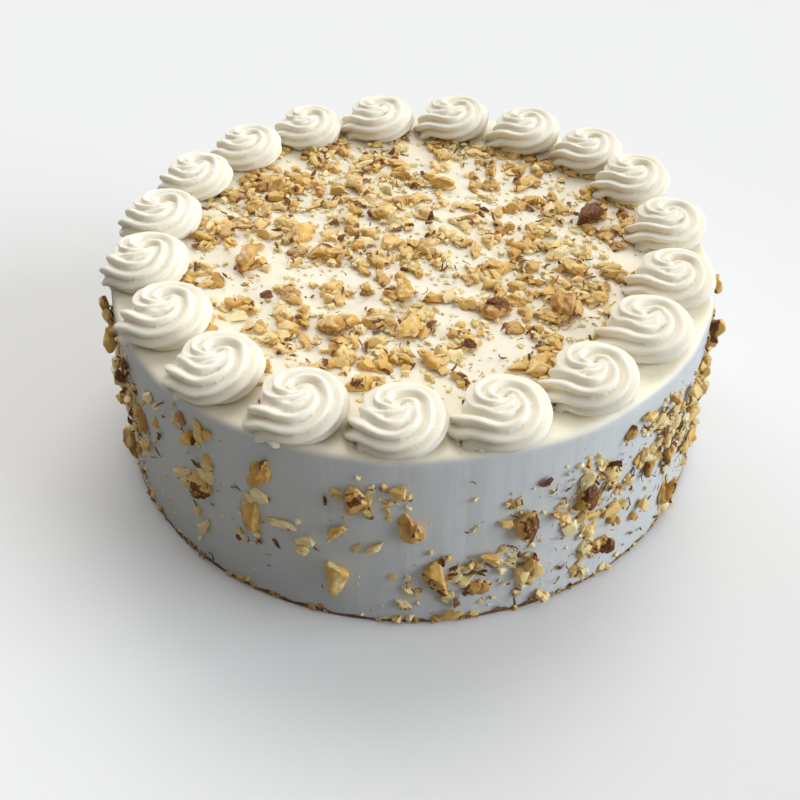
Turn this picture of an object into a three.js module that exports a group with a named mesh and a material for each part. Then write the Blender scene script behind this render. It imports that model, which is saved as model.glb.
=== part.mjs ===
// Carrot cake: a frosted round cake, a crown of piped rosettes round the rim
// and the biggest walnut pieces on the top and on the side.
// Millimetres, +Z up, the flat underside of the cake at z = 0.
import * as THREE from 'three';
import { mergeVertices } from 'three/addons/utils/BufferGeometryUtils.js';

// ---- driving dimensions ----
const cakeRadius = 120;
const rimRadius = 116.7;      // the side leans in a little towards the top
const cakeHeight = 79.6;
const rimRound = 2.6;         // softened top edge of the frosting
const footRound = 1.2;
const sideSegments = 72;

const ribCount = 9;           // teeth of the star piping tip
const stepsPerRib = 3;
const rosetteHeight = 15;
const spiralStep = 0.13;      // how far the rope has moved in after one turn
const middleDip = 0.84;       // height of the swirl's middle, as a share of the rosette
const restGap = 0.02;         // air between a topping and the frosting

const flatCut = 0.42;         // how far below its middle a walnut piece is cut flat
const cutBallHeight = 1.36;   // height of that cut ball, before it is given its size

const group = new THREE.Group();
group.name = 'carrot_cake';

function slot(name, color, roughness) {
  const material = new THREE.MeshStandardMaterial({ color, roughness, metalness: 0 });
  material.name = name;
  return material;
}

function addPiece(name, geometry, material) {
  const mesh = new THREE.Mesh(geometry, material);
  mesh.name = name;
  group.add(mesh);
}

// ---- frosted cake ----
function cakeProfile() {
  const points = [new THREE.Vector2(0, 0)];
  const turn = Math.PI / 2;
  for (let i = 0; i <= 2; i += 1) {
    const a = turn * (i / 2);
    points.push(new THREE.Vector2(
      cakeRadius - footRound + footRound * Math.sin(a),
      footRound - footRound * Math.cos(a)));
  }
  for (let i = 0; i <= 4; i += 1) {
    const a = turn * (i / 4);
    points.push(new THREE.Vector2(
      rimRadius - rimRound + rimRound * Math.cos(a),
      cakeHeight - rimRound + rimRound * Math.sin(a)));
  }
  points.push(new THREE.Vector2(0, cakeHeight));
  return points;
}

function sideRadius(z) {
  const t = (z - footRound) / (cakeHeight - rimRound - footRound);
  return THREE.MathUtils.lerp(cakeRadius, rimRadius, THREE.MathUtils.clamp(t, 0, 1));
}

const frostedCake = new THREE.LatheGeometry(cakeProfile(), sideSegments);
frostedCake.rotateX(Math.PI / 2);
addPiece('frosted_cake', frostedCake, slot('frosting', 0xf4ecdd, 0.55));

// ---- piped rosettes ----
// Each ring of the swirl: how wide, how high, how deep its ribs are and how far
// the ribs have turned by then (as a share of one rib).
const swirlRings = [
  { wide: 0.84, high: 0.0, rib: 0.035, turned: 0.0 },
  { wide: 0.955, high: 0.2, rib: 0.055, turned: 0.15 },
  { wide: 0.93, high: 0.48, rib: 0.06, turned: 0.5 },
  { wide: 0.74, high: 0.8, rib: 0.075, turned: 1.2 },
  { wide: 0.45, high: 0.97, rib: 0.05, turned: 2.2 },
  { wide: 0.16, high: 0.9, rib: 0.015, turned: 3.2 },
];

function rosetteGeometry(across, high) {
  const columns = ribCount * stepsPerRib;
  const radius = across / 2;
  const positions = [];
  const index = [];
  swirlRings.forEach((ring) => {
    for (let c = 0; c < columns; c += 1) {
      const part = c / columns;
      const angle = Math.PI + part * Math.PI * 2;   // the rope starts on the -X side
      const phase = (part * ribCount - ring.turned) * Math.PI * 2;
      const rib = ring.rib * Math.cos(phase);
      const drawnIn = 1 - spiralStep * part * ring.wide;
      const r = radius * (ring.wide + rib) * drawnIn;
      const lift = ring.high > 0 ? rib * 0.35 : 0;
      positions.push(Math.cos(angle) * r, Math.sin(angle) * r, high * (ring.high + lift));
    }
  });
  const under = positions.length / 3;
  positions.push(0, 0, 0);
  const centre = under + 1;
  positions.push(0, 0, high * middleDip);
  const last = (swirlRings.length - 1) * columns;
  for (let c = 0; c < columns; c += 1) {
    const next = (c + 1) % columns;
    index.push(under, next, c);
    index.push(centre, last + c, last + next);
    for (let k = 0; k < swirlRings.length - 1; k += 1) {
      const low = k * columns;
      const up = low + columns;
      index.push(low + c, low + next, up + next);
      index.push(low + c, up + next, up + c);
    }
  }
  const geometry = new THREE.BufferGeometry();
  geometry.setAttribute('position', new THREE.Float32BufferAttribute(positions, 3));
  geometry.setIndex(index);
  return geometry;
}

// Going round the rim from the back right, counter-clockwise seen from above:
// azimuth in degrees, distance out from the middle, width of the rosette.
const rosettes = [
  { azimuth: 6.5, out: 102.5, across: 32 },
  { azimuth: 26.5, out: 104.5, across: 32.5 },
  { azimuth: 42.5, out: 105.5, across: 31.5 },
  { azimuth: 60, out: 102.5, across: 33 },
  { azimuth: 79, out: 102.5, across: 34 },
  { azimuth: 98.5, out: 101.5, across: 34 },
  { azimuth: 117, out: 103, across: 31.5 },
  { azimuth: 134.5, out: 103, across: 31.5 },
  { azimuth: 152, out: 103, across: 31.5 },
  { azimuth: 170.5, out: 101.5, across: 33 },
  { azimuth: 189.5, out: 101.5, across: 33.5 },
  { azimuth: 209.5, out: 100, across: 34 },
  { azimuth: 230, out: 101.5, across: 34 },
  { azimuth: 249.5, out: 103, across: 33.5 },
  { azimuth: 268, out: 103, across: 32.8 },
  { azimuth: 286.5, out: 104, across: 33 },
  { azimuth: 306, out: 102, across: 33 },
  { azimuth: 326, out: 99.5, across: 34 },
  { azimuth: 345.5, out: 100.5, across: 32.8 },
];

const piped = slot('piped_frosting', 0xf8f2e8, 0.5);
rosettes.forEach((spot, i) => {
  const high = rosetteHeight * (0.97 + 0.05 * Math.sin(i * 2.3));
  const geometry = rosetteGeometry(spot.across, high);
  const angle = THREE.MathUtils.degToRad(spot.azimuth);
  geometry.translate(
    Math.cos(angle) * spot.out,
    Math.sin(angle) * spot.out,
    cakeHeight + restGap);
  addPiece(`rosette_${String(i + 1).padStart(2, '0')}`, geometry, piped.clone());
});

// ---- walnut pieces ----
// A broken chunk: a ball knocked lumpy, flat on the side that lies in the frosting.
function chunkGeometry(long, wide, high, seed) {
  const ball = new THREE.IcosahedronGeometry(1, 1);
  ball.deleteAttribute('normal');
  ball.deleteAttribute('uv');
  const geometry = mergeVertices(ball, 1e-4);
  const place = geometry.attributes.position;
  const v = new THREE.Vector3();
  for (let i = 0; i < place.count; i += 1) {
    v.fromBufferAttribute(place, i);
    const wave = Math.sin(v.x * 3.1 + seed * 1.7) + Math.sin(v.y * 3.7 + seed * 2.9)
      + Math.sin(v.z * 4.3 + seed * 0.8);
    v.multiplyScalar(0.98 + 0.04 * wave);
    v.z = Math.max(v.z, -flatCut);
    place.setXYZ(i, v.x * long / 2, v.y * wide / 2, (v.z + flatCut) * high / cutBallHeight);
  }
  return geometry;
}

// Laid on the top: azimuth and distance out, then length, width, height, and the
// way the length points (degrees from +X).
const topWalnuts = [
  { azimuth: 17, out: 77, size: [14.5, 13, 9], turn: 20 },
  { azimuth: 324, out: 68, size: [17, 9, 10], turn: 95 },
  { azimuth: 306, out: 51, size: [13, 11, 8], turn: 10 },
  { azimuth: 141, out: 75, size: [13.5, 10.5, 8], turn: 60 },
  { azimuth: 189, out: 65, size: [16, 9, 9], turn: 80 },
  { azimuth: 75, out: 51, size: [13, 11, 8], turn: 0 },
  { azimuth: 169, out: 45, size: [14, 10, 8], turn: 75 },
  { azimuth: 116, out: 28, size: [14, 11, 8], turn: 30 },
  { azimuth: 240, out: 58, size: [12, 11, 8], turn: 140 },
  { azimuth: 269, out: 51, size: [14, 9, 8], turn: 85 },
  { azimuth: 347, out: 64, size: [12, 10, 7], turn: 50 },
  { azimuth: 265, out: 31, size: [13, 9, 8], turn: 100 },
];

topWalnuts.forEach((nut, i) => {
  const [long, wide, high] = nut.size;
  const geometry = chunkGeometry(long, wide, high, i + 1);
  geometry.rotateZ(THREE.MathUtils.degToRad(nut.turn));
  const angle = THREE.MathUtils.degToRad(nut.azimuth);
  geometry.translate(
    Math.cos(angle) * nut.out,
    Math.sin(angle) * nut.out,
    cakeHeight + restGap);
  addPiece(`walnut_top_${String(i + 1).padStart(2, '0')}`, geometry, slot('walnut', 0xc79a5f, 0.6));
});

// Pressed into the side: azimuth, height of the middle, then length, width and how
// far it stands out, and the tilt of the length from upright.
const sideWalnuts = [
  { azimuth: 200, middle: 12, size: [15, 9, 6], tilt: 10 },
  { azimuth: 232, middle: 44, size: [14, 10, 6.5], tilt: -25 },
  { azimuth: 242, middle: 42, size: [16, 9, 6.5], tilt: 20 },
  { azimuth: 245, middle: 65, size: [14, 8, 6], tilt: 5 },
  { azimuth: 261, middle: 60, size: [14, 8.5, 6.5], tilt: 0 },
  { azimuth: 257, middle: 22, size: [14, 9, 6], tilt: -15 },
  { azimuth: 270, middle: 50, size: [12.5, 8, 6], tilt: 10 },
  { azimuth: 274, middle: 26, size: [16, 9, 6.5], tilt: 5 },
  { azimuth: 289, middle: 45, size: [14, 8, 6], tilt: -10 },
  { azimuth: 300, middle: 51, size: [15, 10, 7], tilt: 15 },
  { azimuth: 305, middle: 18, size: [13, 8, 6], tilt: 25 },
  { azimuth: 324, middle: 17, size: [14, 7.5, 6], tilt: 0 },
];

sideWalnuts.forEach((nut, i) => {
  const [long, wide, proud] = nut.size;
  const geometry = chunkGeometry(long, wide, proud, i + 20);
  geometry.rotateZ(THREE.MathUtils.degToRad(nut.tilt));
  geometry.rotateY(Math.PI / 2);
  geometry.rotateZ(THREE.MathUtils.degToRad(nut.azimuth));
  const angle = THREE.MathUtils.degToRad(nut.azimuth);
  const out = sideRadius(nut.middle - long / 2) + restGap;
  geometry.translate(Math.cos(angle) * out, Math.sin(angle) * out, nut.middle);
  addPiece(`walnut_side_${String(i + 1).padStart(2, '0')}`, geometry, slot('walnut', 0xc79a5f, 0.6));
});

export default group;
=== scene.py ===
import math
import random
import bpy
import bmesh
from mathutils import Matrix, Vector, noise


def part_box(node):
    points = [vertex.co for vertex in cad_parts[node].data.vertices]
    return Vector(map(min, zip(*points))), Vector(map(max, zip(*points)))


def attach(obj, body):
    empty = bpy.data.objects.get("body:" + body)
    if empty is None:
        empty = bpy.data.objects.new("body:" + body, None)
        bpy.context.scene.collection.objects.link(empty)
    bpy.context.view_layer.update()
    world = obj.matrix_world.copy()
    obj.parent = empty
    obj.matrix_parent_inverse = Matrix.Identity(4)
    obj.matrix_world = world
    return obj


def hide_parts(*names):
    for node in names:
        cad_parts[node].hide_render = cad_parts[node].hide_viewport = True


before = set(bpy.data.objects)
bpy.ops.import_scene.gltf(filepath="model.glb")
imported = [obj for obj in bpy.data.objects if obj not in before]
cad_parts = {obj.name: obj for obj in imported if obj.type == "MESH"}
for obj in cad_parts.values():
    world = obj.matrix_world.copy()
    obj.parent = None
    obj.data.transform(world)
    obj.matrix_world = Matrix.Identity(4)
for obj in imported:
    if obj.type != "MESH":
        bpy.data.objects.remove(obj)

noise.seed_set(1)             # vector noise would otherwise start from the clock

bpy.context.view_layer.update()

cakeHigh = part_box("frosted_cake")[1]
cakeRadius = cakeHigh[0]
cakeTop = cakeHigh[2]
mm = 0.001
sideLean = 3.3 * mm           # how far the side leans in towards the top
rimRound = 2.6 * mm           # softened top edge
footRound = 0.8 * mm

rosetteNodes = ["rosette_%02d" % (i + 1) for i in range(19)]
topWalnutNodes = ["walnut_top_%02d" % (i + 1) for i in range(12)]
sideWalnutNodes = ["walnut_side_%02d" % (i + 1) for i in range(12)]


def addMesh(name, bm, material):
    mesh = bpy.data.meshes.new(name)
    bm.to_mesh(mesh)
    bm.free()
    for face in mesh.polygons:
        face.use_smooth = True
    piece = bpy.data.objects.new(name, mesh)
    bpy.context.scene.collection.objects.link(piece)
    mesh.materials.append(material)
    return piece


def bakeModifiers(piece):
    # the finished shape becomes the piece's own mesh
    graph = bpy.context.evaluated_depsgraph_get()
    done = bpy.data.meshes.new_from_object(piece.evaluated_get(graph))
    old = piece.data
    piece.modifiers.clear()
    piece.data = done
    done.name = piece.name
    bpy.data.meshes.remove(old)
    for face in done.polygons:
        face.use_smooth = True


def wallRadius(z):
    return cakeRadius - sideLean * min(max(z / cakeTop, 0), 1)


def facingOut(azimuth, z, proud=0.0):
    # a place on the side whose own Z points straight out of the cake
    a = math.radians(azimuth)
    r = wallRadius(z) + proud
    place = Matrix.Translation((math.cos(a) * r, math.sin(a) * r, z))
    return place @ Matrix.Rotation(a, 4, "Z") @ Matrix.Rotation(math.pi / 2, 4, "Y")


def newMaterial(name):
    material = bpy.data.materials.new(name)
    material.use_nodes = True
    nodes, links = material.node_tree.nodes, material.node_tree.links
    return material, nodes, links, nodes["Principled BSDF"]


def addNoise(nodes, links, coord, scale, detail):
    cloud = nodes.new("ShaderNodeTexNoise")
    cloud.inputs["Scale"].default_value = scale
    cloud.inputs["Detail"].default_value = detail
    links.new(coord.outputs["Object"], cloud.inputs["Vector"])
    return cloud


def addBump(nodes, links, height, strength, distance):
    bump = nodes.new("ShaderNodeBump")
    bump.inputs["Strength"].default_value = strength
    bump.inputs["Distance"].default_value = distance
    links.new(height, bump.inputs["Height"])
    return bump


def addScaled(nodes, links, value, factor, plus):
    # value times factor, plus another value
    scaled = nodes.new("ShaderNodeMath")
    scaled.operation = "MULTIPLY_ADD"
    scaled.inputs[1].default_value = factor
    links.new(value, scaled.inputs[0])
    links.new(plus, scaled.inputs[2])
    return scaled


def addStep(nodes, links, value, start, end):
    # 0 up to start, 1 from end on
    step = nodes.new("ShaderNodeMapRange")
    step.inputs["From Min"].default_value = start
    step.inputs["From Max"].default_value = end
    links.new(value, step.inputs["Value"])
    return step


def addColorMix(nodes, links, factor):
    mix = nodes.new("ShaderNodeMix")
    mix.data_type = "RGBA"
    links.new(factor, mix.inputs["Factor"])
    return mix


def makeCreamGroup():
    # soft unevenness of whipped frosting: a slow tint and two sizes of surface wave
    group = bpy.data.node_groups.new("creamBody", "ShaderNodeTree")
    face = group.interface
    for name, kind, value in (("Tone", "NodeSocketColor", (0.9, 0.84, 0.73, 1)),
                              ("Shade", "NodeSocketColor", (0.86, 0.78, 0.64, 1)),
                              ("Scale", "NodeSocketFloat", 60.0),
                              ("Grain", "NodeSocketFloat", 0.2)):
        socket = face.new_socket(name, in_out="INPUT", socket_type=kind)
        socket.default_value = value
    face.new_socket("Color", in_out="OUTPUT", socket_type="NodeSocketColor")
    face.new_socket("Height", in_out="OUTPUT", socket_type="NodeSocketFloat")
    nodes, links = group.nodes, group.links
    start, end = nodes.new("NodeGroupInput"), nodes.new("NodeGroupOutput")
    coord = nodes.new("ShaderNodeTexCoord")
    slow = addNoise(nodes, links, coord, 60, 3)
    links.new(start.outputs["Scale"], slow.inputs["Scale"])
    fine = addNoise(nodes, links, coord, 900, 4)
    mix = addColorMix(nodes, links, slow.outputs["Fac"])
    links.new(start.outputs["Tone"], mix.inputs[6])
    links.new(start.outputs["Shade"], mix.inputs[7])
    grain = addScaled(nodes, links, fine.outputs["Fac"], 0.2, slow.outputs["Fac"])
    links.new(start.outputs["Grain"], grain.inputs[1])
    links.new(mix.outputs[2], end.inputs["Color"])
    links.new(grain.outputs[0], end.inputs["Height"])
    return group


creamGroup = makeCreamGroup()


# the side colour is painted shade: a darker, cooler frosting colour standing for the side in shadow
spreadLook = {"tone": (0.96, 0.895, 0.745, 1), "shade": (0.93, 0.845, 0.665, 1),
              "scale": 30, "grain": 0.05, "roughness": 0.5, "bump": 0.25, "streaks": 0.35,
              "side": (0.655, 0.675, 0.68, 1), "sponge": (0.22, 0.1, 0.035, 1)}
pipedLook = {"tone": (0.9, 0.852, 0.736, 1), "shade": (0.885, 0.824, 0.682, 1),
             "scale": 90, "grain": 0.12, "roughness": 0.45, "bump": 0.25}


def addCream(nodes, look):
    cream = nodes.new("ShaderNodeGroup")
    cream.node_tree = creamGroup
    cream.inputs["Tone"].default_value = look["tone"]
    cream.inputs["Shade"].default_value = look["shade"]
    cream.inputs["Scale"].default_value = look["scale"]
    cream.inputs["Grain"].default_value = look["grain"]
    return cream


def softenFrosting(bsdf, look):
    bsdf.inputs["Roughness"].default_value = look["roughness"]
    bsdf.inputs["Specular IOR Level"].default_value = 0.4
    bsdf.inputs["Subsurface Weight"].default_value = 0.35
    bsdf.inputs["Subsurface Radius"].default_value = (1.0, 0.75, 0.5)
    bsdf.inputs["Subsurface Scale"].default_value = 4 * mm


def makeSpreadFrosting():
    look = spreadLook
    material, nodes, links, bsdf = newMaterial("spreadFrosting")
    cream = addCream(nodes, look)
    coord = nodes.new("ShaderNodeTexCoord")
    # palette-knife streaks: long up the side, in slow sweeps over the top
    streakMap = nodes.new("ShaderNodeMapping")
    streakMap.inputs["Scale"].default_value = (130, 130, 9)
    streakMap.inputs["Rotation"].default_value = (0.12, 0.0, 0.0)
    links.new(coord.outputs["Object"], streakMap.inputs["Vector"])
    streak = nodes.new("ShaderNodeTexNoise")
    streak.inputs["Scale"].default_value = 1.0
    streak.inputs["Detail"].default_value = 3
    links.new(streakMap.outputs[0], streak.inputs["Vector"])
    streakBump = addBump(nodes, links, streak.outputs["Fac"], look["streaks"], 1.2 * mm)
    grainBump = addBump(nodes, links, cream.outputs["Height"], look["bump"], 1.2 * mm)
    links.new(streakBump.outputs[0], grainBump.inputs["Normal"])
    links.new(grainBump.outputs[0], bsdf.inputs["Normal"])
    # painted shade: the side gets a darker, cooler frosting colour than the top, standing for the
    # side in shadow under cool light
    split = nodes.new("ShaderNodeSeparateXYZ")
    links.new(coord.outputs["Object"], split.inputs[0])
    height = split.outputs["Z"]
    paintedShadeSide = addStep(nodes, links, height, cakeTop - 2.4 * mm, cakeTop - 0.8 * mm)
    spread = addColorMix(nodes, links, paintedShadeSide.outputs[0])
    spread.inputs[6].default_value = look["side"]
    links.new(cream.outputs["Color"], spread.inputs[7])
    # brown sponge shows in an uneven line where the frosting ends at the foot
    ragged = addNoise(nodes, links, coord, 160, 5)
    edge = addScaled(nodes, links, ragged.outputs["Fac"], -6.5 * mm, height)
    foot = addStep(nodes, links, edge.outputs[0], -1.6 * mm, -0.9 * mm)
    mix = addColorMix(nodes, links, foot.outputs[0])
    mix.inputs[6].default_value = look["sponge"]
    links.new(spread.outputs[2], mix.inputs[7])
    links.new(mix.outputs[2], bsdf.inputs["Base Color"])
    softenFrosting(bsdf, look)
    return material


def makePipedFrosting():
    look = pipedLook
    material, nodes, links, bsdf = newMaterial("pipedFrosting")
    cream = addCream(nodes, look)
    bump = addBump(nodes, links, cream.outputs["Height"], look["bump"], 1.0 * mm)
    links.new(bump.outputs[0], bsdf.inputs["Normal"])
    links.new(cream.outputs["Color"], bsdf.inputs["Base Color"])
    softenFrosting(bsdf, look)
    return material


walnutLook = {"browned": (0.43, 0.19, 0.04, 1), "honey": (0.77, 0.49, 0.135, 1),
              "pale": (0.94, 0.77, 0.42, 1), "darkSkin": (0.1, 0.025, 0.004, 1),
              "lightSkin": (0.36, 0.13, 0.016, 1), "waxy": 0.34, "dry": 0.65, "bump": 0.4}


def makeWalnut():
    # waxy flesh from cream to honey, and brown skin on what was the nut's outside
    look = walnutLook
    material, nodes, links, bsdf = newMaterial("walnut")
    coord = nodes.new("ShaderNodeTexCoord")
    tone = nodes.new("ShaderNodeAttribute")
    tone.attribute_name = "tone"
    skin = nodes.new("ShaderNodeAttribute")
    skin.attribute_name = "skin"
    cloud = addNoise(nodes, links, coord, 260, 4)
    blend = addScaled(nodes, links, cloud.outputs["Fac"], 0.4, tone.outputs["Fac"])
    flesh = nodes.new("ShaderNodeValToRGB")
    ramp = flesh.color_ramp
    ramp.elements[0].position = 0.15
    ramp.elements[0].color = look["browned"]
    ramp.elements[1].position = 1.0
    ramp.elements[1].color = look["pale"]
    middle = ramp.elements.new(0.6)
    middle.color = look["honey"]
    links.new(blend.outputs[0], flesh.inputs["Fac"])
    vein = addNoise(nodes, links, coord, 950, 3)
    husk = nodes.new("ShaderNodeValToRGB")
    husk.color_ramp.elements[0].position = 0.42
    husk.color_ramp.elements[0].color = look["darkSkin"]
    husk.color_ramp.elements[1].position = 0.75
    husk.color_ramp.elements[1].color = look["lightSkin"]
    links.new(vein.outputs["Fac"], husk.inputs["Fac"])
    # skin keeps to its own faces, with a few stray specks on the flesh
    ragged = addScaled(nodes, links, vein.outputs["Fac"], 0.95, skin.outputs["Fac"])
    cover = addStep(nodes, links, ragged.outputs[0], 0.8, 0.98)
    mix = addColorMix(nodes, links, cover.outputs[0])
    links.new(flesh.outputs[0], mix.inputs[6])
    links.new(husk.outputs[0], mix.inputs[7])
    links.new(mix.outputs[2], bsdf.inputs["Base Color"])
    bump = addBump(nodes, links, cloud.outputs["Fac"], look["bump"], 0.7 * mm)
    links.new(bump.outputs[0], bsdf.inputs["Normal"])
    gloss = addStep(nodes, links, cover.outputs[0], 0, 1)      # waxy flesh, dry skin
    gloss.inputs["To Min"].default_value = look["waxy"]
    gloss.inputs["To Max"].default_value = look["dry"]
    links.new(gloss.outputs[0], bsdf.inputs["Roughness"])
    bsdf.inputs["Specular IOR Level"].default_value = 0.45
    bsdf.inputs["Subsurface Weight"].default_value = 0.65
    bsdf.inputs["Subsurface Radius"].default_value = (0.9, 0.94, 1.0)
    bsdf.inputs["Subsurface Scale"].default_value = 1.2 * mm
    return material


spreadFrosting = makeSpreadFrosting()
pipedFrosting = makePipedFrosting()
walnut = makeWalnut()


cakeLook = {"around": 300, "sideRings": 44, "topRings": 60, "rimSteps": 5,
            "sideWave": 0.45 * mm, "rimWave": 0.7 * mm, "topWave": 0.35 * mm}


def smear(x, y, z, scale, seed):
    return noise.noise(Vector((x * scale + seed, y * scale, z * scale)))


def makeCake():
    # the outline is drawn out from one corner, then spun round the middle
    bm = bmesh.new()
    last = bm.verts.new((0, 0, 0))
    outline = [(cakeRadius - footRound, 0.0), (cakeRadius, footRound)]
    rings = cakeLook["sideRings"]
    for i in range(1, rings + 1):
        z = footRound + (cakeTop - rimRound - footRound) * i / rings
        outline.append((wallRadius(z), z))
    shoulder = wallRadius(cakeTop)
    steps = cakeLook["rimSteps"]
    for i in range(1, steps + 1):
        a = math.pi / 2 * i / steps
        outline.append((shoulder - rimRound + rimRound * math.cos(a),
                        cakeTop - rimRound + rimRound * math.sin(a)))
    rings = cakeLook["topRings"]
    for i in range(1, rings):
        outline.append(((shoulder - rimRound) * (1 - i / rings), cakeTop))
    outline.append((0.0, cakeTop))
    edges = []
    for r, z in outline:
        point = bm.verts.new((r, 0, z))
        edges.append(bm.edges.new((last, point)))
        last = point
    bmesh.ops.spin(bm, geom=bm.verts[:] + edges, cent=(0, 0, 0), axis=(0, 0, 1),
                   angle=math.tau, steps=cakeLook["around"], use_merge=True)
    bmesh.ops.remove_doubles(bm, verts=bm.verts[:], dist=0.01 * mm)
    bmesh.ops.recalc_face_normals(bm, faces=bm.faces[:])
    for v in bm.verts:
        x, y, z = v.co
        r = math.hypot(x, y)
        if z < 0.5 * mm or r < 0.1 * mm:
            continue
        ux, uy = x / r, y / r
        if r > shoulder - 12 * mm and z < cakeTop - 0.1 * mm:
            wave = smear(x, y, z * 0.35, 30, 3) + 0.5 * smear(x, y, z * 0.2, 130, 9)
            rim = max(0, 1 - abs(z - cakeTop + 2 * mm) / (5 * mm))
            push = cakeLook["sideWave"] * wave
            push += cakeLook["rimWave"] * rim * smear(x, y, 0, 45, 21)
            v.co.x += ux * push
            v.co.y += uy * push
        if z > cakeTop - rimRound:
            sweep = smear(x, y, 0, 22, 5) + 0.4 * smear(x, y * 0.3, 0, 120, 7)
            v.co.z += cakeLook["topWave"] * sweep - 0.2 * mm
    return addMesh("frosting_body", bm, spreadFrosting)


frostingBody = makeCake()
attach(frostingBody, "root")
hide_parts("frosted_cake")
print("frosted cake done")


rosetteLook = {"ribs": 9, "groove": 0.43, "rope": 8.2 * mm, "loop": 8.6 * mm, "turns": 1.72,
               "across": 33 * mm, "swell": 1.05, "flat": 0.78, "tall": 1.07, "sink": 0.3 * mm,
               "start": 186, "steps": 110, "pointsPerRib": 10, "voxel": 0.42 * mm,
               "wave": 0.35 * mm, "seed": 40}

# how the piped rope changes along its way, from the first touch (0) to the lift-off (1)
loopStops = [(0, 0.95), (0.1, 1.0), (0.3, 0.97), (0.45, 0.8), (0.6, 0.55), (0.85, 0.42),
             (1, 0.14)]
ropeStops = [(0, 1.2), (0.09, 1.0), (0.5, 0.95), (0.6, 0.82), (0.74, 0.58), (0.88, 0.36),
             (1, 0.2)]
heightStops = [(0, 0.8), (0.07, 5.4), (0.45, 5.8), (0.62, 7.8), (0.76, 8.8), (0.9, 8.8),
               (1, 7.0)]
twistStops = [(0, 0.0), (0.1, 0.3), (0.3, 2.0), (0.55, 2.7), (0.75, 4.6), (1, 9.0)]


def between(s, stops):
    for (s0, v0), (s1, v1) in zip(stops, stops[1:]):
        if s <= s1:
            t = (s - s0) / (s1 - s0)
            return v0 + (v1 - v0) * t * t * (3 - 2 * t)
    return stops[-1][1]


def ropePlace(s, startAngle, twist, flare):
    # where the star-shaped section of the rope lies, and which way its ribs face
    look = rosetteLook
    theta = startAngle + math.tau * look["turns"] * s
    out = look["loop"] * between(s, loopStops)
    size = look["rope"] * (between(s, ropeStops) + flare * max(0, 1 - s / 0.08))
    height = mm * between(s, heightStops) / look["flat"]
    stand = math.pi / 2 * max(0, 1 - s / 0.07)      # upright where the tip first touches down
    heading = theta + math.pi / 2
    ahead = Vector((math.cos(heading), math.sin(heading), 0))
    left = Vector((-math.sin(heading), math.cos(heading), 0))
    up = Vector((0, 0, 1))
    along = ahead * math.cos(stand) + up * math.sin(stand)
    rear = up * math.cos(stand) - ahead * math.sin(stand)
    turn = startAngle + math.pi * 1.5 + twist * between(s, twistStops)
    across = rear * math.cos(turn) + left * math.sin(turn)
    over = rear * math.sin(turn) - left * math.cos(turn)
    place = Matrix.Translation((math.cos(theta) * out, math.sin(theta) * out, height))
    section = Matrix((across * size, over * size, along * size)).transposed().to_4x4()
    return place @ section


def makeRosette(name, node, seed):
    look = rosetteLook
    low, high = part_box(node)
    centre = Vector(((low[0] + high[0]) / 2, (low[1] + high[1]) / 2, cakeTop - look["sink"]))
    size = (high[0] - low[0]) * look["swell"] / look["across"]
    rng = random.Random(seed)
    groove = look["groove"] * rng.uniform(0.92, 1.06)
    startAngle = math.radians(look["start"] + rng.uniform(-9, 9))
    twist = rng.uniform(0.6, 0.8)
    flare = rng.uniform(0, 0.12)
    tooth = rng.uniform(0, 1)
    bm = bmesh.new()
    points = look["ribs"] * look["pointsPerRib"]
    ring = bmesh.ops.create_circle(bm, segments=points, radius=1.0)["verts"]
    for v in ring:
        part = (math.atan2(v.co.y, v.co.x) / math.tau * look["ribs"] + tooth) % 1
        v.co *= 1 - groove + groove * math.sin(math.pi * part ** 1.3) ** 0.7
    edges = list(dict.fromkeys(e for v in ring for e in v.link_edges))
    bmesh.ops.contextual_create(bm, geom=edges)
    now = ropePlace(0, startAngle, twist, flare)
    bmesh.ops.transform(bm, matrix=now, verts=ring)
    for k in range(1, look["steps"] + 1):
        then = ropePlace(k / look["steps"], startAngle, twist, flare)
        grown = bmesh.ops.extrude_edge_only(bm, edges=edges)["geom"]
        ring = [g for g in grown if isinstance(g, bmesh.types.BMVert)]
        edges = [g for g in grown if isinstance(g, bmesh.types.BMEdge)]
        bmesh.ops.transform(bm, matrix=then @ now.inverted(), verts=ring)
        now = then
    bmesh.ops.contextual_create(bm, geom=edges)
    bmesh.ops.recalc_face_normals(bm, faces=bm.faces[:])
    for v in bm.verts:
        drift = Vector((seed * 3.1, 0, 0))
        v.co += noise.noise_vector(v.co * 140 + drift) * look["wave"]
        torn = max(0, 1 - v.co.z / (3 * mm))        # a little ragged where it meets the cake
        v.co += noise.noise_vector(v.co * 700 + drift) * torn * look["wave"]
    tall = look["flat"] * look["tall"] * size * rng.uniform(0.97, 1.04)
    fit = Matrix.Diagonal((size, size, tall, 1))
    bmesh.ops.transform(bm, matrix=Matrix.Translation(centre) @ fit, verts=bm.verts[:])
    piece = addMesh(name, bm, pipedFrosting)
    fuse = piece.modifiers.new("fuse", "REMESH")
    fuse.mode = "VOXEL"
    fuse.voxel_size = look["voxel"]
    soften = piece.modifiers.new("soften", "SMOOTH")
    soften.factor = 0.5
    soften.iterations = 2
    bakeModifiers(piece)
    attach(piece, "root")
    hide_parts(node)


for i, node in enumerate(rosetteNodes):
    makeRosette("piped_rosette_%02d" % (i + 1), node, rosetteLook["seed"] + i)
print("rosettes done")


# a kernel is a huddle of round lobes, and chopping leaves flat fresh faces
lumpLook = {"voxel": 0.07, "soften": 1, "crease": 0.09, "chipFaces": 64, "fullFaces": 420}
crispAngle = math.radians(38)
paleRise = 60.0               # how much paler per metre away from the frosting
tableGap = 0.2 * mm


def cutFlat(bm, point, normal):
    # breaks a piece off and closes the fresh face
    geom = bm.verts[:] + bm.edges[:] + bm.faces[:]
    cut = bmesh.ops.bisect_plane(bm, geom=geom, dist=0.0001, plane_co=point, plane_no=normal,
                                 clear_outer=True)["geom_cut"]
    rim = [g for g in cut if isinstance(g, bmesh.types.BMEdge)]
    if rim:
        bmesh.ops.contextual_create(bm, geom=rim)


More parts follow.
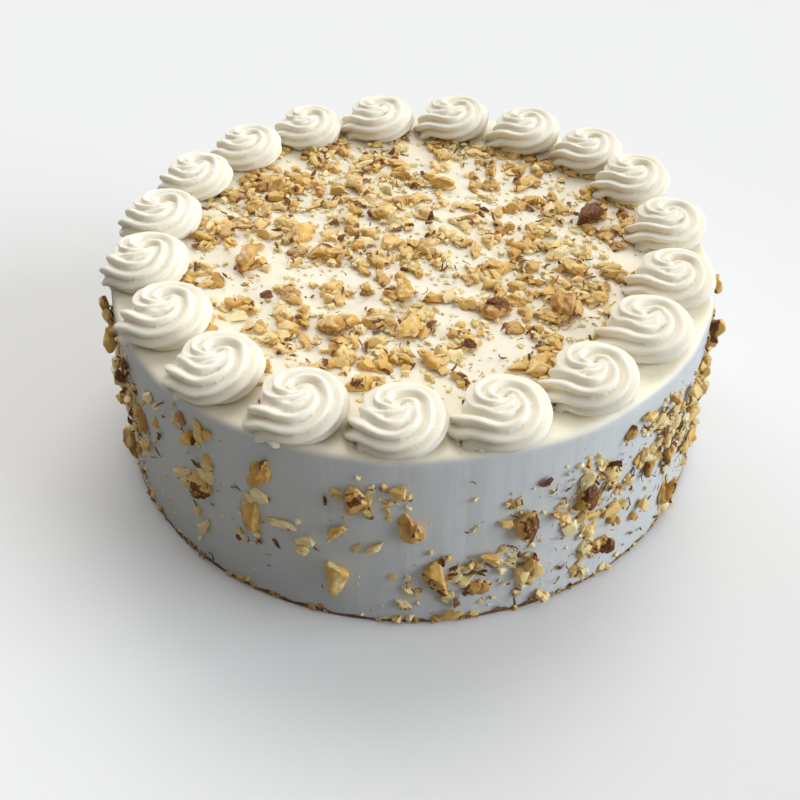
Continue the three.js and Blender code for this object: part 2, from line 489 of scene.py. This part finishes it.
def randomDirection(rng):
    z = rng.uniform(-1, 1)
    a = rng.uniform(0, math.tau)
    r = math.sqrt(1 - z * z)
    return Vector((r * math.cos(a), r * math.sin(a), z))


def clamp(value):
    return min(max(value, 0.0), 1.0)


def reach(bm):
    low = Vector([min(v.co[i] for v in bm.verts) for i in range(3)])
    high = Vector([max(v.co[i] for v in bm.verts) for i in range(3)])
    return low, high


def fuseLump(piece, voxel):
    fuse = piece.modifiers.new("fuse", "REMESH")
    fuse.mode = "VOXEL"
    fuse.voxel_size = voxel
    soften = piece.modifiers.new("soften", "SMOOTH")
    soften.iterations = lumpLook["soften"]
    bakeModifiers(piece)


def makeLobes(rng, lobes, cuts, faces=0):
    # round lobes grown into one body, then broken; few faces where it is laid many times
    bm = bmesh.new()
    for k in range(lobes):
        at = randomDirection(rng) * (0 if k == 0 else rng.uniform(0.3, 0.58))
        shape = Matrix.Diagonal((rng.uniform(0.75, 1.3), rng.uniform(0.6, 1.0), 0.8, 1))
        place = Matrix.Translation(at) @ shape
        bmesh.ops.create_icosphere(bm, subdivisions=3, radius=rng.uniform(0.42, 0.62), matrix=place)
    piece = addMesh("lump", bm, walnut)
    fuseLump(piece, lumpLook["voxel"])
    bm = bmesh.new()
    bm.from_mesh(piece.data)
    drift = Vector((rng.uniform(0, 50), rng.uniform(0, 50), 0))
    for v in bm.verts:
        crease = max(0, 1 - abs(noise.noise(v.co * 1.9 + drift)) / 0.14)
        v.co += v.normal * (0.1 * noise.noise(v.co * 3.4 - drift) - lumpLook["crease"] * crease)
    for _ in range(cuts):
        n = randomDirection(rng)
        n.z *= 0.5
        n.normalize()
        cutFlat(bm, n * rng.uniform(0.28, 0.5), n)
    bmesh.ops.triangulate(bm, faces=bm.faces[:])
    bm.to_mesh(piece.data)
    bm.free()
    if faces:
        thin = piece.modifiers.new("thin", "DECIMATE")
        thin.ratio = faces / max(len(piece.data.polygons), faces)
        bakeModifiers(piece)
    else:
        fuseLump(piece, lumpLook["voxel"] * 0.8)
    bm = bmesh.new()
    bm.from_mesh(piece.data)
    mesh = piece.data
    bpy.data.objects.remove(piece)
    bpy.data.meshes.remove(mesh)
    bmesh.ops.recalc_face_normals(bm, faces=bm.faces[:])
    return bm


def paint(bm, rng, cover):
    # brown skin lies on the side that was the nut's outside
    skin = bm.verts.layers.float.new("skin")
    bm.verts.layers.float.new("tone")
    low, high = reach(bm)
    middle, span = (low + high) / 2, max(high - low)
    husk = randomDirection(rng)
    for v in bm.verts:
        v[skin] = clamp(((v.co - middle).dot(husk) / span * 2 - 1 + cover) * 2.4)


def makeSliver(rng):
    # a thin flake of flesh with a ragged outline
    bm = bmesh.new()
    corners = rng.choice((6, 7, 8, 9))
    ring = bmesh.ops.create_circle(bm, cap_ends=True, segments=corners, radius=0.5)["verts"]
    for v in ring:
        v.co *= rng.uniform(0.5, 1.2)
    top = bmesh.ops.extrude_face_region(bm, geom=bm.faces[:])["geom"]
    raised = [g for g in top if isinstance(g, bmesh.types.BMVert)]
    thick = rng.uniform(0.14, 0.34)
    lean = Vector((rng.uniform(-0.1, 0.1), rng.uniform(-0.1, 0.1), 0))
    for v in raised:
        v.co = v.co * rng.uniform(0.6, 0.95) + lean
        v.co.z += thick * rng.uniform(0.5, 1.4)
    bmesh.ops.triangulate(bm, faces=bm.faces[:])
    bend = rng.uniform(-0.5, 0.5)
    for v in bm.verts:
        v.co.z += bend * v.co.x * v.co.x
    bmesh.ops.recalc_face_normals(bm, faces=bm.faces[:])
    return bm


def makeShard(rng):
    # an angular splinter, flat on every side
    bm = bmesh.new()
    bmesh.ops.create_cube(bm, size=1.4)
    for _ in range(7):
        n = randomDirection(rng)
        cutFlat(bm, n * rng.uniform(0.34, 0.6), n)
    bmesh.ops.triangulate(bm, faces=bm.faces[:])
    bmesh.ops.recalc_face_normals(bm, faces=bm.faces[:])
    return bm


def makeSkinFlake(rng):
    # a papery bit of skin: thin, curled, often torn to a point
    bm = bmesh.new()
    bmesh.ops.create_grid(bm, x_segments=4, y_segments=1, size=0.5)
    curl = rng.uniform(-1.0, 1.0)
    wide = rng.choice((0.1, 0.2, 0.4, 0.6)) * rng.uniform(0.8, 1.2)
    for v in bm.verts:
        v.co.y = v.co.y * wide * (1.25 - 1.1 * abs(v.co.x + 0.15)) + 0.25 * curl * v.co.x ** 2
        v.co.z = 0.8 * curl * v.co.x ** 2 + rng.uniform(-0.05, 0.05)
    bmesh.ops.solidify(bm, geom=bm.faces[:], thickness=0.07)
    bmesh.ops.recalc_face_normals(bm, faces=bm.faces[:])
    return bm


def kinds(rng, maker, count, cover):
    # each kind one unit across, centred, ready to be laid down many times
    made = []
    for _ in range(count):
        bm = maker(rng)
        paint(bm, rng, cover)
        low, high = reach(bm)
        unit = Matrix.Scale(1 / max(high - low), 4) @ Matrix.Translation(-(low + high) / 2)
        bmesh.ops.transform(bm, matrix=unit, verts=bm.verts[:])
        made.append(bm)
    return made


def chippedLump(rng):
    return makeLobes(rng, rng.choice((2, 3, 3, 4)), rng.choice((3, 4, 5)),
                     faces=lumpLook["chipFaces"])


def fullLump(rng):
    return makeLobes(rng, rng.choice((3, 4, 5)), rng.choice((3, 4)), faces=lumpLook["fullFaces"])


def makeBigWalnut(name, node, seed, place, size, skinned):
    rng = random.Random(seed)
    bm = makeLobes(rng, rng.choice((4, 5, 6)), rng.choice((3, 4, 4)))
    skin = bm.verts.layers.float.new("skin")
    tone = bm.verts.layers.float.new("tone")
    husk = randomDirection(rng)
    husk.z = abs(husk.z)
    shade = rng.uniform(0.18, 0.45)
    low, high = reach(bm)
    span = high - low
    for v in bm.verts:
        wrinkle = noise.noise(v.co * 5 + Vector((seed, 0, 0)))
        v[skin] = clamp((v.co.dot(husk) - 1 + 1.6 * skinned) * 1.6 + wrinkle * 0.7)
        v[tone] = (shade + 0.4 * noise.noise(v.co * 1.7 + Vector((0, seed, 0)))
                   + 0.2 * noise.noise(v.co * 5.5 - Vector((seed, 0, 0))))
        v.co += v.normal * wrinkle * 0.04
    fit = Matrix.Diagonal((size[0] / span.x, size[1] / span.y, size[2] / span.z, 1))
    settle = place @ fit @ Matrix.Translation(-(low + high) / 2)
    bmesh.ops.transform(bm, matrix=settle, verts=bm.verts[:])
    piece = addMesh(name, bm, walnut)
    piece.data.set_sharp_from_angle(angle=crispAngle)
    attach(piece, "root")
    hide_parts(node)


bigLook = {"topFlat": 0.75, "topSink": 2.2 * mm, "sideWide": 8.8 * mm, "sideThick": 7 * mm,
           "sideProud": 1.2 * mm, "topSeed": 300, "sideSeed": 330, "turnSeed": 500}

# how much brown skin each large piece still wears
topSkin = [0.95, 0.1, 0.75, 0.3, 0.1, 0.2, 0.15, 0.35, 0.45, 0.2, 0.6, 0.3]
sideSkin = [0.3, 0.55, 0.15, 0.35, 0.6, 0.1, 0.35, 0.5, 0.6, 0.85, 0.75, 0.3]

for i, node in enumerate(topWalnutNodes):
    low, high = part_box(node)
    size = Vector(high) - Vector(low)
    centre = (Vector(high) + Vector(low)) / 2
    size = Vector((size.x * 0.97, size.y * 0.97, size.z * bigLook["topFlat"]))
    centre.z -= bigLook["topSink"]
    name = "big_walnut_top_%02d" % (i + 1)
    place = Matrix.Translation(centre)
    makeBigWalnut(name, node, bigLook["topSeed"] + i, place, size, topSkin[i])

for i, node in enumerate(sideWalnutNodes):
    low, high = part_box(node)
    centre = (Vector(high) + Vector(low)) / 2
    azimuth = math.degrees(math.atan2(centre.y, centre.x))
    rng = random.Random(bigLook["turnSeed"] + i)
    turn = Matrix.Rotation(rng.uniform(-0.5, 0.5), 4, "Z")
    place = facingOut(azimuth, centre.z, bigLook["sideProud"]) @ turn
    wide = bigLook["sideWide"] * rng.uniform(0.9, 1.1)
    size = Vector(((high[2] - low[2]) * 1.03, wide, bigLook["sideThick"]))
    name = "big_walnut_side_%02d" % (i + 1)
    makeBigWalnut(name, node, bigLook["sideSeed"] + i, place, size, sideSkin[i])
print("big walnuts done")


class Scatter:
    # gathers placed copies of the kinds into one piece
    def __init__(self, name):
        self.name = name
        self.bm = bmesh.new()
        self.bm.verts.layers.float.new("skin")
        self.bm.verts.layers.float.new("tone")
        self.mesh = bpy.data.meshes.new("laying")

    def lay(self, kind, place, tone, moreSkin=0.0):
        copy = kind.copy()
        toneLayer = copy.verts.layers.float["tone"]
        skinLayer = copy.verts.layers.float["skin"]
        bmesh.ops.transform(copy, matrix=place, verts=copy.verts[:])
        middle = place.translation
        if middle.z > cakeTop - mm:
            up = Vector((0, 0, 1))
        else:
            up = Vector((middle.x, middle.y, 0)).normalized()
        for v in copy.verts:
            # paler on the side away from the frosting, darker honey towards it
            v[toneLayer] = tone + paleRise * (v.co - middle).dot(up)
            v[skinLayer] += moreSkin
        copy.to_mesh(self.mesh)
        copy.free()
        self.bm.from_mesh(self.mesh)

    def finish(self):
        bpy.data.meshes.remove(self.mesh)
        for v in self.bm.verts:
            v.co.z = max(v.co.z, tableGap)      # nothing sinks into the table
        piece = addMesh(self.name, self.bm, walnut)
        piece.data.set_sharp_from_angle(angle=crispAngle)
        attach(piece, "root")


def spun(rng):
    return Matrix.Rotation(rng.uniform(0, math.tau), 4, "Z")


def tipped(rng, lean):
    spin = spun(rng)
    rolled = Matrix.Rotation(rng.gauss(0, lean), 4, "X")
    return spin @ rolled @ Matrix.Rotation(rng.gauss(0, lean), 4, "Y")


def tumbled(rng):
    return spun(rng) @ Matrix.Rotation(rng.uniform(0, math.tau), 4, "X")


# for each kind: how many different ones, and how much brown skin they wear
rng = random.Random(7)
lumpKinds = kinds(rng, chippedLump, 10, 0.3)
bigLumpKinds = kinds(rng, fullLump, 9, 0.4)
sliverKinds = kinds(rng, makeSliver, 12, 0.2)
shardKinds = kinds(rng, makeShard, 7, 0.2)
skinKinds = kinds(rng, makeSkinFlake, 9, 2.0)

chipLook = {"full": 7.4 * mm, "lump": 5.5 * mm}      # sizes from which a piece is always a lump


def someSize(rng, least, more, lean):
    # mostly near the least, now and then much larger
    return least + more * rng.random() ** lean


def layChip(pieces, rng, place, size, tone, skins):
    # one chopped piece lying on the frosting at place: a lump, a shard or a sliver
    long, wide = size * rng.uniform(0.95, 1.3), size * rng.uniform(0.65, 1.0)
    stretch = Matrix.Diagonal((long, wide, size, 1))
    pick = rng.random()
    if size > chipLook["full"]:
        body = Matrix.Diagonal((1, 1, 0.62, 1)) @ tumbled(rng)
        kind = rng.choice(bigLumpKinds)
    elif size > chipLook["lump"] or pick < 0.5:
        body = Matrix.Diagonal((1, 1, 0.62, 1)) @ tumbled(rng)
        kind = rng.choice(lumpKinds)
    elif pick < 0.64:
        body = Matrix.Diagonal((1, 1, 0.5, 1)) @ tumbled(rng)
        kind = rng.choice(shardKinds)
    else:
        body = tipped(rng, 0.3)
        kind = rng.choice(sliverKinds)
    pieces.lay(kind, place @ spun(rng) @ stretch @ body, tone, skins)


rosetteSpots = []
for node in rosetteNodes:
    low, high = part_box(node)
    x, y = (low[0] + high[0]) / 2, (low[1] + high[1]) / 2
    rosetteSpots.append((x, y, (high[0] - low[0]) / 2))


def underRosette(x, y, spare):
    return any(math.hypot(x - cx, y - cy) < r + spare for cx, cy, r in rosetteSpots)


topLook = {"reach": 91 * mm, "groups": 325, "crumbs": 1500, "skins": 560, "caught": 9,
           "clump": 24, "huddle": 3.4 * mm, "seed": 11}

# middling pieces on the top: azimuth, how far out, length (mm)
topPicked = [
    (251, 71, 11), (349, 77, 10), (258, 83, 12), (117, 54, 12), (275, 69, 12), (300, 85, 12),
    (357, 25, 10), (318, 67, 11), (188, 35, 14), (60, 70, 11), (95, 66, 10), (35, 50, 10),
    (150, 20, 10), (210, 75, 10), (222, 40, 11), (10, 50, 9), (80, 25, 10), (130, 62, 9)]


def topThick(x, y):
    # where the walnuts fell thick and where they fell thin
    scale = topLook["clump"]
    return (noise.noise(Vector((x * scale + 4.2, y * scale - 1.7, 0)))
            + 0.6 * noise.noise(Vector((x * 70 + 9.2, y * 70, 3))))


def topSpot(rng, spare, low, high):
    while True:
        r = topLook["reach"] * math.sqrt(rng.random())
        a = rng.uniform(0, math.tau)
        x, y = r * math.cos(a), r * math.sin(a)
        if topThick(x, y) > rng.uniform(low, high) and not underRosette(x, y, spare):
            return x, y


def layOnTop():
    rng = random.Random(topLook["seed"])
    pieces = Scatter("chopped_walnut_top")
    fine = Scatter("walnut_crumbs_top")
    skins = Scatter("walnut_skins_top")
    for azimuth, out, long in topPicked:
        a = math.radians(azimuth)
        size = long * mm
        x, y = math.cos(a) * out * mm, math.sin(a) * out * mm
        place = Matrix.Translation((x, y, cakeTop + size * 0.12))
        shape = Matrix.Diagonal((size, size * rng.uniform(0.65, 0.85), size * 0.55, 1))
        pieces.lay(rng.choice(bigLumpKinds), place @ spun(rng) @ shape @ tumbled(rng),
                   rng.uniform(0.25, 0.5), rng.choice((-0.3, 0.0, 0.15)))
    for _ in range(topLook["groups"]):
        # a pinch of nuts falls together: one or two larger, some smaller against them
        x, y = topSpot(rng, 0.0, -0.75, 0.4)
        tone = rng.gauss(0.47, 0.14)
        for k in range(rng.choice((1, 1, 2, 3, 3, 4))):
            size = someSize(rng, 4.2 * mm, 5.6 * mm, 1.7) * (1 if k < 2 else 0.65)
            px = x + rng.gauss(0, topLook["huddle"]) * min(k, 1)
            py = y + rng.gauss(0, topLook["huddle"]) * min(k, 1)
            if underRosette(px, py, -mm) or math.hypot(px, py) > topLook["reach"] * 1.02:
                continue
            place = Matrix.Translation((px, py, cakeTop + size * 0.06 + 0.3 * mm * k))
            layChip(pieces, rng, place, size, tone + rng.gauss(0, 0.1) - 18 * (size - 4 * mm),
                    rng.choice((-0.6, -0.3, -0.1, 0.1, 0.25)))
    for cx, cy, r in rosetteSpots:
        # nuts caught under the inner edge of each rosette
        inward = math.atan2(-cy, -cx)
        for _ in range(topLook["caught"]):
            a = inward + rng.gauss(0, 0.75)
            out = r * rng.uniform(0.88, 1.03)
            size = someSize(rng, 3 * mm, 4 * mm, 1.5)
            x, y = cx + math.cos(a) * out, cy + math.sin(a) * out
            if underRosette(x, y, -3 * mm):
                continue
            place = Matrix.Translation((x, y, cakeTop + size * 0.1))
            layChip(pieces, rng, place, size, rng.gauss(0.42, 0.12), rng.choice((-0.3, 0.1, 0.3)))
    for _ in range(topLook["crumbs"]):
        x, y = topSpot(rng, 0.0, -0.9, 0.45)
        size = someSize(rng, 1.2 * mm, 2.6 * mm, 1.8)
        shape = Matrix.Diagonal((size, size * rng.uniform(0.6, 1), size * 0.8, 1))
        place = Matrix.Translation((x, y, cakeTop + size * 0.03)) @ spun(rng) @ shape
        fine.lay(rng.choice(sliverKinds + shardKinds), place, rng.gauss(0.72, 0.1), -0.4)
    for _ in range(topLook["skins"]):
        x, y = topSpot(rng, 0.0, -0.6, 0.4)
        size = someSize(rng, 1.4 * mm, 3.4 * mm, 2)
        lift = someSize(rng, 0.5 * mm, 3.4 * mm, 1.5)
        turned = tipped(rng, 0.45)
        place = Matrix.Translation((x, y, cakeTop + lift)) @ turned @ Matrix.Scale(size, 4)
        skins.lay(rng.choice(skinKinds), place, 0.3)
    pieces.finish()
    fine.finish()
    skins.finish()


layOnTop()
print("top walnuts done")

# gatherings pressed into the side: azimuth, height, spread round, spread up, share
sideGatherings = [
    (196, 62, 5, 11, 2.0), (206, 52, 5, 12, 1.6), (214, 28, 6, 13, 1.0), (229, 66, 3.5, 6, 1.3),
    (233, 40, 4, 10, 0.8), (243, 40, 3, 10, 0.5), (262, 58, 3.5, 6, 0.6), (268, 63, 3, 4, 0.4),
    (276, 22, 4, 7, 0.9), (285, 10, 7, 5, 0.9), (290, 28, 5, 7, 1.3), (290, 58, 6, 7, 1.0),
    (301, 54, 4, 6, 2.0), (304, 38, 5, 9, 1.2), (318, 46, 6, 13, 2.2), (331, 46, 6, 15, 2.8),
    (344, 46, 7, 17, 3.0), (316, 65, 5, 5, 1.1)]

# middling pieces on the side: azimuth, height, length (mm)
sidePicked = [
    (258, 46, 10), (252, 34, 8), (295, 45, 10), (293, 5, 9), (277, 6, 9), (290, 26, 10),
    (283, 33, 9), (268, 67, 9), (230, 64, 10), (315, 26, 9), (196, 69, 9), (203, 60, 9),
    (208, 50, 8), (215, 39, 8), (340, 69, 9), (347, 60, 8), (352, 50, 8), (329, 60, 9),
    (322, 40, 9), (334, 31, 9), (20, 40, 10), (48, 55, 9), (70, 30, 10), (96, 58, 9),
    (118, 36, 10), (143, 52, 9), (165, 28, 10), (180, 60, 9), (194, 74, 13), (199, 66, 12),
    (204, 56, 11), (313, 70, 7), (321, 68, 8), (201, 40, 10), (341, 72, 12), (337, 60, 10),
    (346, 64, 10), (352, 76, 8), (343, 38, 10)]

# heights and the huddle in mm, the back from one azimuth to another
sideLook = {"groups": 270, "crumbs": 900, "skins": 560, "loose": 0.14, "back": (-8, 192),
            "lowest": 3, "highest": 72, "ceiling": 75, "huddle": 3.4, "seed": 23}
footLook = {"crumbs": 620}


def sideSpot(rng):
    # a few anywhere; the rest half over the back, thick and thin, and half in the gatherings
    while True:
        if rng.random() < sideLook["loose"]:
            return rng.uniform(0, 360), 2 + 60 * rng.random() ** 1.2
        if rng.random() < 0.5:
            azimuth, z = rng.uniform(*sideLook["back"]), 3 + 62 * rng.random()
            if noise.noise(Vector((azimuth * 0.075, z * 0.06, 2.5))) > rng.uniform(-0.35, 0.3):
                return azimuth, z
            continue
        pick = rng.choices(sideGatherings, weights=[g[4] for g in sideGatherings])[0]
        azimuth, z = rng.gauss(pick[0], pick[2]), rng.gauss(pick[1], pick[3])
        if sideLook["lowest"] < z < sideLook["highest"]:
            return azimuth, z


def layOnSide():
    rng = random.Random(sideLook["seed"])
    pieces = Scatter("chopped_walnut_side")
    fine = Scatter("walnut_crumbs_side")
    skins = Scatter("walnut_skins_side")
    for azimuth, z, long in sidePicked:
        size = long * mm
        shape = Matrix.Diagonal((size * 0.95, size * rng.uniform(0.5, 0.8), size * 0.58, 1))
        spot = facingOut(azimuth, max(z * mm, size * 0.6), size * 0.22)
        place = spot @ spun(rng) @ shape @ tumbled(rng)
        pieces.lay(rng.choice(bigLumpKinds), place,
                   rng.uniform(0.25, 0.6), rng.choice((-0.1, 0.1, 0.25)))
    for _ in range(sideLook["groups"]):
        azimuth, z = sideSpot(rng)
        tone = rng.gauss(0.54, 0.18)
        for k in range(rng.choice((1, 1, 2, 2, 3, 4))):
            size = someSize(rng, 3.6 * mm, 5.8 * mm, 1.9) * (1 if k < 1 else 0.75)
            pz = z + rng.gauss(0, sideLook["huddle"]) * min(k, 1)
            if not size * 0.6 / mm < pz < sideLook["ceiling"]:
                continue
            place = facingOut(azimuth + rng.gauss(0, 1.7) * min(k, 1), pz * mm, size * 0.08)
            layChip(pieces, rng, place, size, tone + rng.gauss(0, 0.1) - 15 * (size - 4 * mm),
                    rng.choice((-0.5, -0.1, 0.1, 0.3)))
    for _ in range(sideLook["crumbs"]):
        azimuth, z = sideSpot(rng)
        size = someSize(rng, 0.9 * mm, 1.8 * mm, 2)
        place = facingOut(azimuth, z * mm, size * 0.1) @ tipped(rng, 0.4) @ Matrix.Scale(size, 4)
        fine.lay(rng.choice(sliverKinds + shardKinds), place, rng.gauss(0.66, 0.12), -0.2)
    for _ in range(sideLook["skins"]):
        azimuth, z = sideSpot(rng)
        size = someSize(rng, 1.4 * mm, 4 * mm, 2)
        lift = someSize(rng, 0.4 * mm, 1.2 * mm, 1)
        spot = facingOut(azimuth, max(z * mm, size * 0.6), lift)
        place = spot @ tipped(rng, 0.3) @ Matrix.Scale(size, 4)
        skins.lay(rng.choice(skinKinds), place, 0.3)
    # brown crumbs gathered along the foot
    footCrumbs = Scatter("foot_crumbs")
    for _ in range(footLook["crumbs"]):
        azimuth = rng.uniform(0, 360)
        if noise.noise(Vector((azimuth * 0.11, 0, 8))) < rng.uniform(-0.6, 0.3):
            continue
        size = someSize(rng, 0.9 * mm, 3.4 * mm, 2.5)
        z = size * 0.62 + 2 * mm * rng.random() ** 2
        shape = Matrix.Diagonal((size, size * rng.uniform(0.5, 0.9), size * 0.6, 1))
        place = facingOut(azimuth, z, size * 0.05) @ tipped(rng, 0.4) @ shape
        footCrumbs.lay(rng.choice(shardKinds + sliverKinds), place,
                       rng.gauss(0.3, 0.2), rng.choice((-0.2, 0.1, 0.4)))
    for piece in (footCrumbs, pieces, fine, skins):
        piece.finish()


layOnSide()
for kind in lumpKinds + bigLumpKinds + sliverKinds + shardKinds + skinKinds:
    kind.free()
print("side walnuts done")


# pale to look at, but it throws less light back up the side
floorLook = {"seen": (0.81, 0.81, 0.81, 1), "thrown": (0.38, 0.36, 0.33, 1), "reach": 6}
floorMaterial, nodes, links, bsdf = newMaterial("paleFloor")
bsdf.inputs["Roughness"].default_value = 0.9
ray = nodes.new("ShaderNodeLightPath")
paleness = addColorMix(nodes, links, ray.outputs["Is Camera Ray"])
paleness.inputs[6].default_value = floorLook["thrown"]
paleness.inputs[7].default_value = floorLook["seen"]
links.new(paleness.outputs[2], bsdf.inputs["Base Color"])
bm = bmesh.new()
bmesh.ops.create_grid(bm, x_segments=1, y_segments=1, size=floorLook["reach"])
floor = addMesh("floor", bm, floorMaterial)

# a dim surround for the light, a pale one behind the cake
studioLook = {"surround": (0.86, 0.93, 1.0, 1), "strength": 0.06, "backdrop": (0.82, 0.83, 0.83, 1)}
world = bpy.data.worlds.new("studio")
bpy.context.scene.world = world
world.use_nodes = True
nodes, links = world.node_tree.nodes, world.node_tree.links
surround = nodes["Background"]
surround.inputs["Color"].default_value = studioLook["surround"]
surround.inputs["Strength"].default_value = studioLook["strength"]
backdrop = nodes.new("ShaderNodeBackground")
backdrop.inputs["Color"].default_value = studioLook["backdrop"]
seen = nodes.new("ShaderNodeLightPath")
mix = nodes.new("ShaderNodeMixShader")
links.new(seen.outputs["Is Camera Ray"], mix.inputs[0])
links.new(surround.outputs[0], mix.inputs[1])
links.new(backdrop.outputs[0], mix.inputs[2])
links.new(mix.outputs[0], nodes["World Output"].inputs["Surface"])


# each light: strength, colour, then its softness, elevation and azimuth in degrees
lightLook = {"keyLight": (1.15, (1.0, 0.97, 0.92), 35, 52, 74),
             "overheadLight": (1.25, (1.0, 0.98, 0.95), 100, 84, 60),
             "backLight": (1.15, (0.96, 0.98, 1.0), 40, 18, 118),
             "fillLight": (3.0, (0.85, 0.92, 1.0), 45, 16, 350)}


def addSun(name, strength, color, spread, elevation, azimuth):
    lamp = bpy.data.lights.new(name, "SUN")
    lamp.energy = strength
    lamp.color = color
    lamp.angle = math.radians(spread)
    lampObject = bpy.data.objects.new(name, lamp)
    bpy.context.scene.collection.objects.link(lampObject)
    e, a = math.radians(elevation), math.radians(azimuth)
    aim = Vector((math.cos(e) * math.cos(a), math.cos(e) * math.sin(a), math.sin(e)))
    lampObject.rotation_euler = aim.to_track_quat("Z", "Y").to_euler()


for name, look in lightLook.items():
    addSun(name, *look)

cameraLook = {"lens": 47.45, "sensor": 36, "distance": 0.4688, "elevation": 41.9, "turn": 0.44,
              "aside": -2.0 * mm}
lens = bpy.data.cameras.new("camera")
lens.lens = cameraLook["lens"]
lens.sensor_width = cameraLook["sensor"]
camera = bpy.data.objects.new("camera", lens)
bpy.context.scene.collection.objects.link(camera)
tilt = math.radians(cameraLook["elevation"])
away = cameraLook["distance"]
camera.location = (cameraLook["aside"], -away * math.cos(tilt), away * math.sin(tilt))
camera.rotation_euler = (math.pi / 2 - tilt, 0, math.radians(cameraLook["turn"]))
bpy.context.scene.camera = camera
bpy.context.scene.view_settings.view_transform = "Standard"
print("floor, light and camera done")
